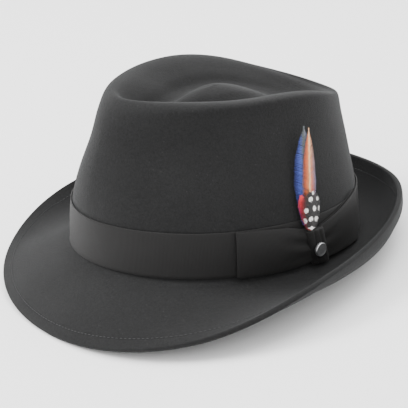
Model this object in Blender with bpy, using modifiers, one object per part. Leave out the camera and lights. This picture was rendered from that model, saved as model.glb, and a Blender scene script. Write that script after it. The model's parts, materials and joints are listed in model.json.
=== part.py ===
"""Felt trilby with a ribbon band, a flat bow, a round pin and a feather trim, at its real size in metres.

The hat has its own frame: the opening of the crown lies in the plane z = 0, the front faces -Y and the bow
is on +X, the wearer's left. An empty then tilts and lowers the whole hat until it stands on the plane z = 0
by itself, on the front edge of the brim and on the low sides of it.
"""
import math
from collections import namedtuple

import bpy
import numpy as np
from mathutils import Matrix, Vector

# Opening of the crown, measured on the outside of the felt
BASE_HALF_WIDTH = 0.0890
BASE_FRONT = 0.1050
BASE_BACK = 0.1065

# Felt
CROWN_HEIGHT = 0.1180
BRIM_WIDTH = 0.0560
FELT_THICKNESS = 0.0022
WELT_THICKNESS = 0.0036
WELT_WIDTH = 0.0070
WELT_STEP = 0.0012
BREAK_FILLET = 0.0020
PINCH_DEPTH = 0.0050
PINCH_HEIGHT = 0.0720
PINCH_SPREAD = 0.0220

# Ribbon
RIBBON_WIDTH = 0.0300
BAND_RISE = 0.0020
BAND_THICKNESS = 0.0010
FRONT_LOOP_LENGTH = 0.0520
REAR_LOOP_LENGTH = 0.0470
LOOP_THICKNESS = 0.0022
KNOT_WIDTH = 0.0155
KNOT_HEIGHT = 0.0250
KNOT_THICKNESS = 0.0042
KNOT_DROP = 0.0020
KNOT_SLANT = 0.0060
BOW_PLACE = 0.0175

# Pin and feathers
PIN_DIAMETER = 0.0094
PIN_THICKNESS = 0.0022
PIN_HEIGHT = 0.0112
PIN_PLACE = -0.0012
FEATHER_THICKNESS = 0.0007
FEATHER_LEAN = math.radians(11)
FEATHER_SWAY = math.radians(6)
FEATHER_CUP = 0.0400
FEATHER_STANDOFF = 0.0028

# Clearance between pieces that lie on each other
GAP = 0.0003

# Divisions of the meshes
COLUMNS = 60
CROWN_LEVELS = (1.6, 2.3, 3.0, 3.5, 4.0, 4.5, 5.0, 5.5, 6.0, 6.5, 7.0, 7.6, 8.3, 9.2, 10.1)
BRIM_SHARES = (0.14, 0.30, 0.46, 0.62, 0.76)
SLOPE_STEPS = 32
BAND_ROWS = 4
LOOP_COLUMNS = 9
LOOP_ROWS = 4
KNOT_COLUMNS = 4
KNOT_ROWS = 5
FEATHER_ROWS = 10
FEATHER_COLUMNS = 4
PIN_SIDES = 24

# Crown, a row for each level from the opening to the middle of the top. Half width, front and back are
# shares of the opening's, rises are shares of the crown's height at the front, side and back, and pinch is
# how far the front narrows.
CrownRow = namedtuple("CrownRow", "half_width front back rise_front rise_side rise_back pinch")
CROWN = (
    CrownRow(1.000, 1.000, 1.000, 0.000, 0.000, 0.000, 0.00),
    CrownRow(0.972, 1.000, 0.968, 0.260, 0.260, 0.260, 0.00),
    CrownRow(0.895, 0.975, 0.922, 0.488, 0.494, 0.475, 0.03),
    CrownRow(0.803, 0.908, 0.886, 0.690, 0.706, 0.664, 0.13),
    CrownRow(0.762, 0.858, 0.862, 0.825, 0.860, 0.765, 0.21),
    CrownRow(0.740, 0.795, 0.812, 0.900, 0.928, 0.765, 0.20),
    CrownRow(0.625, 0.730, 0.761, 0.925, 0.930, 0.760, 0.30),
    CrownRow(0.452, 0.650, 0.690, 0.850, 0.875, 0.735, 0.48),
    CrownRow(0.350, 0.560, 0.600, 0.790, 0.825, 0.725, 0.53),
    CrownRow(0.250, 0.440, 0.470, 0.785, 0.820, 0.740, 0.50),
    CrownRow(0.130, 0.240, 0.250, 0.850, 0.870, 0.830, 0.40),
    CrownRow(0.000, 0.000, 0.000, 0.890, 0.890, 0.890, 0.30),
)
# The pinched front is narrowed with this power of the distance from the back
PINCH_POWER = 3.0
# Two fingers press the crown in at this angle forward of the sides
FINGER_ANGLE = math.radians(58)
FINGER_SPREAD = math.radians(16)

# Brim, a row for each eighth of the way round from front to back: slope next to the crown and slope at the
# edge in degrees, down being negative, and width as a share of the brim's
BrimRow = namedtuple("BrimRow", "slope_in slope_out width")
BRIM = (
    BrimRow(-24, -62, 0.99),
    BrimRow(-23, -22, 1.01),
    BrimRow(-42, 76, 0.89),
    BrimRow(-18, 104, 0.79),
    BrimRow(-12, 90, 0.76),
)

# Bow loops, a row for each section from the knot to the folded end: place along the loop as a share of its
# length, lower and upper edge as shares of the ribbon's width above the band's lower edge
LoopRow = namedtuple("LoopRow", "along low high")
FRONT_LOOP = (
    LoopRow(0.00, 0.04, 0.80),
    LoopRow(0.30, 0.00, 0.93),
    LoopRow(0.65, -0.01, 0.98),
    LoopRow(1.00, 0.00, 1.00),
)
REAR_LOOP = (
    LoopRow(0.00, 0.00, 0.77),
    LoopRow(0.35, 0.00, 0.90),
    LoopRow(0.70, -0.02, 1.03),
    LoopRow(1.00, -0.03, 1.12),
)

# Feathers, a row for each node: length, half width, place across the trim, turn in its own plane in degrees
# (positive to the back) and layer, counted out from the crown
Feather = namedtuple("Feather", "length half_width aside turn layer outline color")
# Outlines from the foot to the tip: share of the length, share of the half width
LONG_LEAF = ((0.00, 0.30), (0.20, 0.72), (0.45, 1.00), (0.70, 0.82), (0.88, 0.46), (1.00, 0.08))
SHORT_LEAF = ((0.00, 0.45), (0.35, 0.95), (0.70, 1.00), (0.90, 0.66), (1.00, 0.30))
FEATHERS = {
    "feather_blue": Feather(0.0705, 0.0098, 0.0000, -1.0, 0, LONG_LEAF, (0.07, 0.13, 0.45)),
    "feather_orange": Feather(0.0690, 0.0064, 0.0018, 0.5, 1, LONG_LEAF, (0.62, 0.17, 0.05)),
    "feather_red_tuft": Feather(0.0250, 0.0042, -0.0026, -10.0, 2, SHORT_LEAF, (0.45, 0.01, 0.03)),
    "feather_spotted": Feather(0.0260, 0.0086, 0.0008, 0.0, 3, SHORT_LEAF, (0.03, 0.03, 0.03)),
}
FEATHER_PLACE = -0.0045

FELT_COLOR = (0.022, 0.023, 0.026)
RIBBON_COLOR = (0.012, 0.011, 0.011)
METAL_COLOR = (0.62, 0.62, 0.63)


def clear_scene():
    """Remove every object, so that the script gives the same model from any start."""
    for item in list(bpy.data.objects):
        bpy.data.objects.remove(item, do_unlink=True)


def make_material(name, color, roughness, metallic=0.0):
    """A Principled material in one colour."""
    material = bpy.data.materials.new(name)
    material.use_nodes = True
    shader = material.node_tree.nodes["Principled BSDF"]
    shader.inputs["Base Color"].default_value = (*color, 1.0)
    shader.inputs["Roughness"].default_value = roughness
    shader.inputs["Metallic"].default_value = metallic
    material.diffuse_color = (*color, 1.0)
    return material


def add_object(name, vertices, faces, material, parent, collection):
    """A mesh object in the hat's frame, smooth except at real corners."""
    mesh = bpy.data.meshes.new(name)
    mesh.from_pydata([tuple(v) for v in vertices], [], faces)
    mesh.materials.append(material)
    mesh.shade_smooth()
    mesh.set_sharp_from_angle(angle=math.radians(40))
    item = bpy.data.objects.new(name, mesh)
    item.parent = parent
    collection.objects.link(item)
    return item


def solidify(item, thickness, offset):
    """Give an open surface its wall: offset -1 puts it behind the surface and 1 in front."""
    wall = item.modifiers.new("wall", "SOLIDIFY")
    wall.thickness = thickness
    wall.offset = offset
    wall.use_even_offset = True
    wall.use_quality_normals = True
    return wall


def soften_edges(item, width):
    """Round the sharp edges of a ribbon piece."""
    edges = item.modifiers.new("edges", "BEVEL")
    edges.width = width
    edges.segments = 2
    edges.limit_method = "ANGLE"
    edges.angle_limit = math.radians(50)


def grid_faces(rows, columns, closed):
    """Quads of a grid that is stored row by row, closed round its rows if asked."""
    last = columns if closed else columns - 1
    faces = []
    for row in range(rows - 1):
        for column in range(last):
            following = (column + 1) % columns
            here = row * columns
            above = here + columns
            faces.append((here + column, here + following, above + following, above + column))
    return faces


def table_at(table, level, mirrored=False):
    """Rows of a table at fractional levels, on a Catmull-Rom spline through the rows. The spline runs straight
    on past the ends, or is mirrored there, which makes it level at both."""
    rows = np.array(table, dtype=float)
    if mirrored:
        rows = np.vstack([rows[1], rows, rows[-2]])
    else:
        rows = np.vstack([2 * rows[0] - rows[1], rows, 2 * rows[-1] - rows[-2]])
    level = np.atleast_1d(np.asarray(level, dtype=float))
    start = np.clip(level.astype(int), 0, len(table) - 2)
    u = (level - start)[:, None]
    before, first, second, after = (rows[start + k] for k in range(4))
    slope_first = (second - before) / 2
    slope_second = (after - first) / 2
    return (
        first * (2 * u**3 - 3 * u**2 + 1)
        + slope_first * (u**3 - 2 * u**2 + u)
        + second * (3 * u**2 - 2 * u**3)
        + slope_second * (u**3 - u**2)
    )


def oval(angle):
    """Point and outward direction of the opening's oval; angle 0 is the left side, 90 degrees the back."""
    depth = np.where(np.sin(angle) < 0, BASE_FRONT, BASE_BACK)
    point = np.stack([BASE_HALF_WIDTH * np.cos(angle), depth * np.sin(angle)], axis=-1)
    outward = np.stack([depth * np.cos(angle), BASE_HALF_WIDTH * np.sin(angle)], axis=-1)
    return point, outward / np.linalg.norm(outward, axis=-1, keepdims=True)


def crown_points(level, angle):
    """Outer surface of the crown: half ovals front and back whose size and rise come from the table, narrowed
    towards the pinched front, with the two finger dents pressed in."""
    row = CrownRow(*table_at(CROWN, level).T)
    side = np.cos(angle)
    along = np.sin(angle)
    narrow = 1 - row.pinch * ((1 - along) / 2) ** PINCH_POWER
    x = BASE_HALF_WIDTH * row.half_width * side * narrow
    y = np.where(along < 0, BASE_FRONT * row.front, BASE_BACK * row.back) * along
    forward = np.clip(-along, 0, None) ** 2
    backward = np.clip(along, 0, None) ** 2
    rise = row.rise_side + (row.rise_front - row.rise_side) * forward
    rise = rise + (row.rise_back - row.rise_side) * backward
    z = CROWN_HEIGHT * rise
    turn = np.arctan2(y, np.abs(x)) + FINGER_ANGLE
    press = np.exp(-0.5 * (turn / FINGER_SPREAD) ** 2 - 0.5 * ((z - PINCH_HEIGHT) / PINCH_SPREAD) ** 2)
    reach = np.maximum(np.hypot(x, y), FELT_THICKNESS)
    keep = 1 - PINCH_DEPTH * press / reach
    return np.stack([x * keep, y * keep, z], axis=-1)


def level_at_height(height):
    """Level of the crown's side wall at a height above the opening."""
    levels = np.linspace(0, 4, 81)
    heights = crown_points(levels, np.zeros_like(levels))[:, 2]
    return np.interp(height, heights, levels)


def brim_row(angle):
    """The brim's slopes and width share at angles, alike on the left and the right."""
    quarter_turns = np.arcsin(np.clip(np.sin(angle), -1, 1)) / (math.pi / 4)
    return BrimRow(*table_at(BRIM, quarter_turns + 2, mirrored=True).T)


def brim_points(distance_share, angle):
    """Upper surface of the brim at shares of its width: the slope turns evenly from the crown to the edge."""
    row = brim_row(angle)
    steps = (np.arange(SLOPE_STEPS)[:, None] + 0.5) / SLOPE_STEPS
    slope = np.radians(row.slope_in + (row.slope_out - row.slope_in) * steps)
    stride = BRIM_WIDTH * row.width / SLOPE_STEPS
    start = np.zeros((1, len(angle)))
    reach = np.vstack([start, np.cumsum(stride * np.cos(slope), axis=0)])
    rise = np.vstack([start, np.cumsum(stride * np.sin(slope), axis=0)])
    place = np.clip(distance_share, 0, 1) * SLOPE_STEPS
    low = np.clip(place.astype(int), 0, SLOPE_STEPS - 1)
    part = place - low
    column = np.arange(len(angle))
    reach = reach[low, column] * (1 - part) + reach[low + 1, column] * part
    rise = rise[low, column] * (1 - part) + rise[low + 1, column] * part
    point, outward = oval(angle)
    return np.column_stack([point + outward * reach[:, None], rise])


def build_felt(material, parent, collection):
    """Crown and brim as one surface from the edge of the brim to the middle of the top, with a wall that is
    thicker along the stitched welt of the edge."""
    angle = np.arange(COLUMNS) * 2 * math.pi / COLUMNS
    width = BRIM_WIDTH * brim_row(angle).width
    welt = 1 - WELT_WIDTH / width
    rings = [brim_points(np.ones(COLUMNS), angle)]
    thick_rings = 2
    rings.append(brim_points(welt, angle))
    rings.append(brim_points(welt - WELT_STEP / width, angle))
    for share in reversed(BRIM_SHARES):
        rings.append(brim_points(np.full(COLUMNS, share), angle))
    foot = brim_points(BREAK_FILLET / width, angle)
    wall = crown_points(np.full(COLUMNS, level_at_height(BREAK_FILLET)), angle)
    corner = brim_points(np.zeros(COLUMNS), angle)
    rings.extend([foot, (foot + 2 * corner + wall) / 4, wall])
    band_levels = level_at_height(BAND_RISE + RIBBON_WIDTH * np.array([1 / 3, 2 / 3, 1]))
    for level in (*band_levels, *CROWN_LEVELS):
        rings.append(crown_points(np.full(COLUMNS, level), angle))
    top = crown_points(np.array([len(CROWN) - 1.0]), np.zeros(1))
    vertices = np.vstack([*rings, top])
    faces = grid_faces(len(rings), COLUMNS, True)
    last = (len(rings) - 1) * COLUMNS
    faces += [(last + k, last + (k + 1) % COLUMNS, len(vertices) - 1) for k in range(COLUMNS)]
    felt = add_object("felt_body", vertices, faces, material, parent, collection)
    group = felt.vertex_groups.new(name="welt")
    group.add(list(range(thick_rings * COLUMNS)), 1.0, "REPLACE")
    wall = solidify(felt, WELT_THICKNESS, -1)
    wall.vertex_group = group.name
    wall.thickness_vertex_group = FELT_THICKNESS / WELT_THICKNESS
    return felt


def build_band(material, parent, collection):
    """Ribbon round the foot of the crown, a clearance off the felt."""
    angle = np.arange(COLUMNS) * 2 * math.pi / COLUMNS
    _, outward = oval(angle)
    lift = np.column_stack([outward, np.zeros(COLUMNS)]) * GAP
    rows = []
    for share in np.linspace(0, 1, BAND_ROWS):
        level = level_at_height(BAND_RISE + RIBBON_WIDTH * share)
        rows.append(crown_points(np.full(COLUMNS, level), angle) + lift)
    band = add_object("hat_band", np.vstack(rows), grid_faces(BAND_ROWS, COLUMNS, True),
                      material, parent, collection)
    solidify(band, BAND_THICKNESS, 1)
    return band


def angle_at(along):
    """Angle on the oval at a distance along it, measured from the left side towards the back."""
    angles = np.linspace(-math.pi / 2, math.pi / 2, 361)
    points, _ = oval(angles)
    travelled = np.concatenate([[0], np.cumsum(np.linalg.norm(np.diff(points, axis=0), axis=1))])
    travelled -= np.interp(0.0, angles, travelled)
    return np.interp(along, travelled, angles)


def on_crown(along, height, lift):
    """Points on the crown's wall: distance along the ribbon, height over the opening, distance off the felt."""
    along, height, lift = np.broadcast_arrays(along, height, lift)
    angle = angle_at(along.ravel())
    _, outward = oval(angle)
    points = crown_points(level_at_height(height.ravel()), angle)
    points[:, :2] += outward * lift.ravel()[:, None]
    return points


def knot_middle(height):
    """Distance along the ribbon to the slanted middle of the knot at a height."""
    centre = BAND_RISE - KNOT_DROP + KNOT_HEIGHT / 2
    return BOW_PLACE - KNOT_SLANT * (height - centre) / KNOT_HEIGHT


def build_loop(name, table, length, direction, material, parent, collection):
    """Half of the bow: two flat layers of ribbon that leave the knot and fold back at their end."""
    columns = np.array([row.along for row in table])
    share = np.linspace(0, 1, LOOP_COLUMNS)
    low = BAND_RISE + RIBBON_WIDTH * np.interp(share, columns, [row.low for row in table])
    high = BAND_RISE + RIBBON_WIDTH * np.interp(share, columns, [row.high for row in table])
    across = np.linspace(0, 1, LOOP_ROWS)[:, None]
    height = low + (high - low) * across
    root = knot_middle(height) + direction * (KNOT_WIDTH / 2 + GAP)
    end = BOW_PLACE + direction * (KNOT_WIDTH / 2 + GAP + length)
    along = root + (end - root) * share
    vertices = on_crown(along, height, BAND_THICKNESS + 2 * GAP)
    faces = grid_faces(LOOP_ROWS, LOOP_COLUMNS, False)
    if direction < 0:
        faces = [face[::-1] for face in faces]
    loop = add_object(name, vertices, faces, material, parent, collection)
    solidify(loop, LOOP_THICKNESS, 1)
    soften_edges(loop, LOOP_THICKNESS / 4)
    return loop


def build_knot(material, parent, collection):
    """Folded ribbon over the middle of the bow."""
    low = BAND_RISE - KNOT_DROP
    height = np.linspace(low, low + KNOT_HEIGHT, KNOT_ROWS)[:, None]
    across = np.linspace(-0.5, 0.5, KNOT_COLUMNS) * KNOT_WIDTH
    vertices = on_crown(knot_middle(height) + across, height, BAND_THICKNESS + 2 * GAP)
    faces = grid_faces(KNOT_ROWS, KNOT_COLUMNS, False)
    knot = add_object("bow_knot", vertices, faces, material, parent, collection)
    solidify(knot, KNOT_THICKNESS, 1)
    soften_edges(knot, KNOT_THICKNESS / 4)
    return knot


def frame_on_crown(along, height, lift):
    """Place, direction along the ribbon and outward direction at a point off the crown's wall."""
    angle = float(angle_at(along))
    _, outward = oval(np.array([angle]))
    outward = Vector((*outward[0], 0.0))
    place = Vector(on_crown(np.array(along), np.array(height), np.array(lift))[0])
    sideways = Vector((-outward.y, outward.x, 0.0))
    return place, sideways, outward


def build_pin(material, parent, collection):
    """Round metal button on the knot: a turned profile with a raised rim and a slightly sunk flat face."""
    radius = PIN_DIAMETER / 2
    rim = PIN_THICKNESS * 0.35
    profile = (
        (0.0, PIN_THICKNESS * 0.90),
        (radius * 0.72, PIN_THICKNESS * 0.90),
        (radius * 0.80, PIN_THICKNESS),
        (radius - rim * 0.3, PIN_THICKNESS),
        (radius, PIN_THICKNESS - rim),
        (radius, rim),
        (radius - rim, 0.0),
        (0.0, 0.0),
    )
    vertices = [(x, 0.0, z) for x, z in profile]
    mesh = bpy.data.meshes.new("pin")
    mesh.from_pydata(vertices, [(k, k + 1) for k in range(len(vertices) - 1)], [])
    mesh.materials.append(material)
    pin = bpy.data.objects.new("pin", mesh)
    pin.parent = parent
    collection.objects.link(pin)
    turn = pin.modifiers.new("turn", "SCREW")
    turn.axis = "Z"
    turn.steps = PIN_SIDES
    turn.render_steps = PIN_SIDES
    turn.use_merge_vertices = True
    turn.merge_threshold = 0.00001
    turn.use_smooth_shade = True
    lift = BAND_THICKNESS + 3 * GAP + KNOT_THICKNESS
    place, sideways, outward = frame_on_crown(knot_middle(PIN_HEIGHT) + PIN_PLACE, PIN_HEIGHT, lift)
    axes = Matrix((sideways, outward.cross(sideways), outward)).transposed()
    pin.matrix_local = Matrix.Translation(place) @ axes.to_4x4()
    return pin


def build_feather(name, material, parent, collection):
    """One feather as a cupped leaf in its own layer, its foot on the top of the knot."""
    feather = FEATHERS[name]
    foot_height = BAND_RISE - KNOT_DROP + KNOT_HEIGHT + GAP
    lift = FEATHER_STANDOFF + feather.layer * (FEATHER_THICKNESS + GAP)
    along = knot_middle(foot_height) + FEATHER_PLACE
    place, sideways, outward = frame_on_crown(along, foot_height, lift)
    upward = Vector((0, 0, 1)) * math.cos(FEATHER_LEAN) - outward * math.sin(FEATHER_LEAN)
    facing = sideways.cross(upward)
    turn = FEATHER_SWAY + math.radians(feather.turn)
    share = np.linspace(0, 1, FEATHER_ROWS)
    outline = np.array(feather.outline)
    half = feather.half_width * np.interp(share, outline[:, 0], outline[:, 1])
    across = np.linspace(-1, 1, FEATHER_COLUMNS) * half[:, None]
    upright = (share * feather.length)[:, None] + 0 * across
    aside = feather.aside * share[:, None] ** 0.5 + across * math.cos(turn) + upright * math.sin(turn)
    upright = upright * math.cos(turn) - across * math.sin(turn) * share[:, None]
    sunk = -(aside - upright * math.sin(FEATHER_SWAY)) ** 2 / (2 * FEATHER_CUP)
    axes = np.array([sideways, upward, facing])
    flat = np.stack([aside.ravel(), upright.ravel(), sunk.ravel()], axis=-1)
    vertices = flat @ axes + np.array(place)
    leaf = add_object(name, vertices, grid_faces(FEATHER_ROWS, FEATHER_COLUMNS, False),
                      material, parent, collection)
    solidify(leaf, FEATHER_THICKNESS, 1)
    return leaf


def stand_on_floor(holder, felt):
    """Tilt and lower the hat so that it stands by itself. Seen from the side, the felt's outline rests on the
    lower edge of its hull that the middle of its weight lies over."""
    graph = bpy.context.evaluated_depsgraph_get()
    mesh = felt.evaluated_get(graph).to_mesh()
    points = np.empty(len(mesh.vertices) * 3, dtype=np.float32)
    mesh.vertices.foreach_get("co", points)
    points = points.reshape(-1, 3).astype(float)
    middle = points[:, 1].mean()
    front = points[points[:, 1] < middle]
    back = points[points[:, 1] >= middle]
    lead = front[front[:, 2].argmin()]
    rear = back[back[:, 2].argmin()]
    for _ in range(8):
        tilt = math.atan2(rear[2] - lead[2], rear[1] - lead[1])
        depth = lambda group: group[:, 2] * math.cos(tilt) - group[:, 1] * math.sin(tilt)
        lead = front[depth(front).argmin()]
        rear = back[depth(back).argmin()]
    turned = points @ np.array(Matrix.Rotation(-tilt, 3, "X")).T
    low = turned.min(axis=0)
    high = turned.max(axis=0)
    holder.rotation_euler = (-tilt, 0, 0)
    holder.location = (0, -(low[1] + high[1]) / 2, -low[2])


def main():
    clear_scene()
    collection = bpy.data.collections.new("trilby")
    bpy.context.scene.collection.children.link(collection)
    holder = bpy.data.objects.new("hat_at_rest", None)
    collection.objects.link(holder)

    felt_material = make_material("felt", FELT_COLOR, 0.95)
    ribbon_material = make_material("ribbon", RIBBON_COLOR, 0.75)
    metal_material = make_material("pin_metal", METAL_COLOR, 0.35, 1.0)

    felt = build_felt(felt_material, holder, collection)
    build_band(ribbon_material, holder, collection)
    build_loop("bow_front_loop", FRONT_LOOP, FRONT_LOOP_LENGTH, -1, ribbon_material, holder, collection)
    build_loop("bow_rear_loop", REAR_LOOP, REAR_LOOP_LENGTH, 1, ribbon_material, holder, collection)
    build_knot(ribbon_material, holder, collection)
    build_pin(metal_material, holder, collection)
    for name, feather in FEATHERS.items():
        build_feather(name, make_material(name, feather.color, 0.6), holder, collection)

    bpy.context.view_layer.update()
    stand_on_floor(holder, felt)
    bpy.context.view_layer.update()


main()
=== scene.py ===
"""Looks of the felt trilby: nap on the felt, ribbed ribbon, stitches, the pin and the feather trim.

Every shape is worked out in the hat's own frame, in metres: the opening of the crown lies in the plane z = 0,
the front faces -Y and the bow is on +X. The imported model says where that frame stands, and each finished
mesh is placed there.
"""

import json
import math
from collections import namedtuple

import bpy
import numpy as np
from mathutils import Matrix, Vector


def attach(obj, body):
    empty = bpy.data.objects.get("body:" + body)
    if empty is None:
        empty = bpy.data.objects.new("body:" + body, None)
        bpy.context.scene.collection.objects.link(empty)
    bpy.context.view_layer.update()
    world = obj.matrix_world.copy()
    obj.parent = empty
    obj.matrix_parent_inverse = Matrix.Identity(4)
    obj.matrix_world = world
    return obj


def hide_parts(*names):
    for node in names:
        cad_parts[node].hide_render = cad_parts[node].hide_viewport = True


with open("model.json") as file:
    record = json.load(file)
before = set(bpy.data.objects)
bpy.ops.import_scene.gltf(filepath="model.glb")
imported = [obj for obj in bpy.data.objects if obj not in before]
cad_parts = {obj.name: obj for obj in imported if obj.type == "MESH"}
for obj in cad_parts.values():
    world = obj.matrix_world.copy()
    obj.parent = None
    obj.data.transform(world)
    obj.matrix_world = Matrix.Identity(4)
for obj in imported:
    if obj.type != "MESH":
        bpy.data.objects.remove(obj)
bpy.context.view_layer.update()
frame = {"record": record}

# The hat's frame: its origin is the middle of the opening, and the head goes in against its +Z
opening = next(m for m in frame["record"]["mounts"] if m["name"] == "head_opening")
HAT_ORIGIN = np.array(opening["pos_m"])
HAT_UP = -np.array(opening["axis"]) / np.linalg.norm(opening["axis"])
HAT_AXES = np.array([(1.0, 0.0, 0.0), np.cross(HAT_UP, (1.0, 0.0, 0.0)), HAT_UP])

# Felt
BASE_HALF_WIDTH = 0.0890
BASE_FRONT = 0.1050
BASE_BACK = 0.1065
CROWN_HEIGHT = 0.1180
BRIM_WIDTH = 0.0560
FELT_THICKNESS = 0.0022
WELT_THICKNESS = 0.0036
WELT_WIDTH = 0.0070
WELT_STEP = 0.0012
BREAK_FILLET = 0.0020
PINCH_DEPTH = 0.0050
PINCH_HEIGHT = 0.0720
PINCH_SPREAD = 0.0220
PINCH_POWER = 3.0
WALL_LEVELS = 4
FINGER_ANGLE = math.radians(58)
FINGER_SPREAD = math.radians(16)
FELT_WAVES = 0.00025
SEAM_DEPTH = 0.0002
SEAM_WIDTH = 0.0006

# Ribbon
RIBBON_WIDTH = 0.0300
BAND_RISE = 0.0020
BAND_THICKNESS = 0.0010
FRONT_LOOP_LENGTH = 0.0520
REAR_LOOP_LENGTH = 0.0470
LOOP_THICKNESS = 0.0022
KNOT_WIDTH = 0.0155
KNOT_HEIGHT = 0.0250
KNOT_THICKNESS = 0.0042
KNOT_DROP = 0.0020
KNOT_SLANT = 0.0060
BOW_PLACE = 0.0175
RIB_PITCH = 0.0009
SELVEDGE = 0.00035
GAP = 0.0003

# Pin and feathers
PIN_HEIGHT = 0.0112
PIN_PLACE = -0.0012
PIN_DIAMETER = 0.0094
PIN_THICKNESS = 0.0022
FEATHER_LEAN = math.radians(11)
FEATHER_SWAY = math.radians(6)
FEATHER_CUP = 0.0400
FEATHER_STANDOFF = 0.0028
FEATHER_LAYER = 0.0010
FEATHER_PLACE = -0.0045
FEATHER_LENGTH = 0.0705
FEATHER_HALF_WIDTH = 0.0098
BARB_SLOPE = 0.55
BARB_WALL = 0.00008
QUILL_RADIUS = 0.00045

# Stitches along the welt
STITCH_PITCH = 0.0031
STITCH_LENGTH = 0.0021
STITCH_RADIUS = 0.00022
# Heights of the two lines of stitches over the felt's upper surface
STITCH_LIFT_TOP = 0.00018
STITCH_LIFT_UNDER = -0.0029

# Crown and brim rows, as the solids have them
CrownRow = namedtuple("CrownRow", "half_width front back rise_front rise_side rise_back pinch")
CROWN = (
    CrownRow(1.000, 1.000, 1.000, 0.000, 0.000, 0.000, 0.00),
    CrownRow(0.972, 1.000, 0.968, 0.260, 0.260, 0.260, 0.00),
    CrownRow(0.895, 0.975, 0.922, 0.488, 0.494, 0.475, 0.03),
    CrownRow(0.803, 0.908, 0.886, 0.690, 0.706, 0.664, 0.13),
    CrownRow(0.762, 0.858, 0.862, 0.825, 0.860, 0.765, 0.21),
    CrownRow(0.740, 0.795, 0.812, 0.900, 0.928, 0.765, 0.20),
    CrownRow(0.625, 0.730, 0.761, 0.925, 0.930, 0.760, 0.30),
    CrownRow(0.452, 0.650, 0.690, 0.850, 0.875, 0.735, 0.48),
    CrownRow(0.350, 0.560, 0.600, 0.790, 0.825, 0.725, 0.53),
    CrownRow(0.250, 0.440, 0.470, 0.785, 0.820, 0.740, 0.50),
    CrownRow(0.130, 0.240, 0.250, 0.850, 0.870, 0.830, 0.40),
    CrownRow(0.000, 0.000, 0.000, 0.890, 0.890, 0.890, 0.30),
)
# The crown's rows go on over its middle: the sizes change sign there and the rises stay as they are
OVER_TOP = np.array([-1, -1, -1, 1, 1, 1, 1])
BrimRow = namedtuple("BrimRow", "slope_in slope_out width")
BRIM = (
    BrimRow(-24, -62, 0.99),
    BrimRow(-23, -22, 1.01),
    BrimRow(-42, 76, 0.89),
    BrimRow(-18, 104, 0.79),
    BrimRow(-12, 90, 0.76),
)
SLOPE_STEPS = 96
LoopRow = namedtuple("LoopRow", "along low high")
FRONT_LOOP = (
    LoopRow(0.00, 0.04, 0.80),
    LoopRow(0.30, 0.00, 0.93),
    LoopRow(0.65, -0.01, 0.98),
    LoopRow(1.00, 0.00, 1.00),
)
REAR_LOOP = (
    LoopRow(0.00, 0.00, 0.77),
    LoopRow(0.35, 0.00, 0.90),
    LoopRow(0.70, -0.02, 1.03),
    LoopRow(1.00, -0.03, 1.12),
)

# Divisions of the meshes
FELT_COLUMNS = 256
CROWN_RINGS = 88
BREAK_RINGS = 5
BRIM_RINGS = 52
EDGE_RINGS = 7
BAND_COLUMNS = 480
LOOP_COLUMNS = 120
BARB_POINTS = 9
QUILL_SIDES = 8
PIN_SIDES = 96

# Camera, measured in the hat's frame
VIEW_AZIMUTH = math.radians(54.5)
VIEW_ELEVATION = math.radians(20.2)
VIEW_DISTANCE = 1.200
VIEW_TARGET_HEIGHT = 0.050
VIEW_RIGHT = -0.0083
VIEW_UP = -0.0295
FRAME_PIXELS = 408
PIXELS_PER_METRE = 1450.0
SENSOR = 36.0


def placed(points):
    """Points of the hat's frame in the model's: the three axes times the coordinates, plus the origin."""
    return points @ HAT_AXES + HAT_ORIGIN


def smooth_step(low, high, value):
    """0 below low, 1 above high, and 3t^2 - 2t^3 between them."""
    t = np.clip((value - low) / (high - low), 0, 1)
    return t * t * (3 - 2 * t)


def bump(value, centre, width):
    """Bell of height 1: exp(-((value - centre) / width)^2)."""
    return np.exp(-((value - centre) / width) ** 2)


def make_object(name, mesh, material):
    """Put a finished mesh in the scene, smooth, riding on the hat."""
    mesh.materials.append(material)
    mesh.shade_smooth()
    piece = bpy.data.objects.new(name, mesh)
    bpy.context.scene.collection.objects.link(piece)
    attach(piece, "root")
    return piece


def raw_mesh(name, points, faces, uv=None):
    """Mesh from whole arrays: points (n, 3), faces (m, k) with k corners each, uv (m, k, 2)."""
    mesh = bpy.data.meshes.new(name)
    count, corners = faces.shape
    mesh.vertices.add(len(points))
    mesh.vertices.foreach_set("co", points.astype(np.float32).ravel())
    mesh.loops.add(count * corners)
    mesh.loops.foreach_set("vertex_index", faces.astype(np.int32).ravel())
    mesh.polygons.add(count)
    mesh.polygons.foreach_set("loop_start", np.arange(0, count * corners, corners, dtype=np.int32))
    mesh.update(calc_edges=True)
    if uv is not None:
        layer = mesh.uv_layers.new(name="surface")
        layer.data.foreach_set("uv", uv.astype(np.float32).ravel())
    mesh.validate()
    return mesh


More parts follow.
